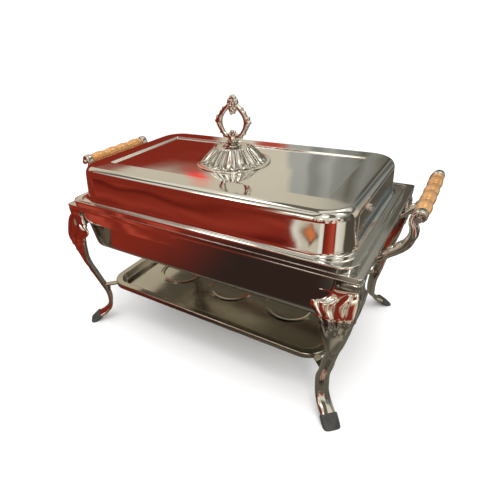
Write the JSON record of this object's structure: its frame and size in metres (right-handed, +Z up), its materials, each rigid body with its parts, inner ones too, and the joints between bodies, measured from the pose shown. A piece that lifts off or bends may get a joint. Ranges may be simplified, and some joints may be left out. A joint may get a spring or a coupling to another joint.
{
  "type": "chafing dish",
  "caption": "Rectangular fuel-heated chafing dish: domed lift-off cover with fluted ring handle, food pan in a rimmed water pan, ornate cabriole-legged stand, fuel shelf, turned side grips.",
  "frame": {"origin": "on the table, under the middle of the stand", "axes": "+X along the length, towards the right-hand grip; +Y from front to back; +Z up"},
  "size_m": [0.695, 0.468, 0.4853],
  "materials": {
    "mirror_steel": "mirror-polished stainless steel with fine polishing lines",
    "brushed_steel": "brushed stainless steel",
    "satin_steel": "satin stainless steel, slightly heat-tinted",
    "plated_casting": "polished plated casting, darker in the recesses",
    "hardware_steel": "plain zinc-plated hardware",
    "gold_plate": "glossy gold-coloured turned grip",
    "black_rubber": "matt dark rubber"
  },
  "bodies": {
    "stand": {"rail_front": "mirror_steel", "rail_back": "mirror_steel", "rail_left": "mirror_steel", "rail_right": "mirror_steel", "leg_front_left": "plated_casting", "leg_front_right": "plated_casting", "leg_back_left": "plated_casting", "leg_back_right": "plated_casting", "foot_cap_front_left": "black_rubber", "foot_cap_front_right": "black_rubber", "foot_cap_back_left": "black_rubber", "foot_cap_back_right": "black_rubber", "leg_rivets": "hardware_steel", "fuel_shelf": "satin_steel", "shelf_tab_front_left": "satin_steel", "shelf_tab_front_right": "satin_steel", "shelf_tab_back_left": "satin_steel", "shelf_tab_back_right": "satin_steel", "shelf_screws": "hardware_steel", "bracket_left_front": "plated_casting", "bracket_left_back": "plated_casting", "bracket_right_front": "plated_casting", "bracket_right_back": "plated_casting", "grip_left": "gold_plate", "grip_right": "gold_plate", "grip_rod_left": "hardware_steel", "grip_rod_right": "hardware_steel", "grip_nuts": "plated_casting", "bracket_screws": "hardware_steel"},
    "water_pan": {"water_pan": "mirror_steel"},
    "food_pan": {"food_pan": "brushed_steel"},
    "cover": {"cover_shell": "mirror_steel", "handle_base": "plated_casting", "handle_collar": "plated_casting", "ring_handle": "plated_casting", "handle_screw": "hardware_steel", "handle_washer": "hardware_steel"}
  },
  "joints": [
    {"name": "water_pan_lift", "type": "slide", "parent": "stand", "child": "water_pan", "axis": [0, 0, 1], "range_m": [0, 0.14]},
    {"name": "food_pan_lift", "type": "slide", "parent": "water_pan", "child": "food_pan", "axis": [0, 0, 1], "range_m": [0, 0.11]},
    {"name": "cover_lift", "type": "slide", "parent": "food_pan", "child": "cover", "axis": [0, 0, 1], "range_m": [0, 0.18]}
  ]
}
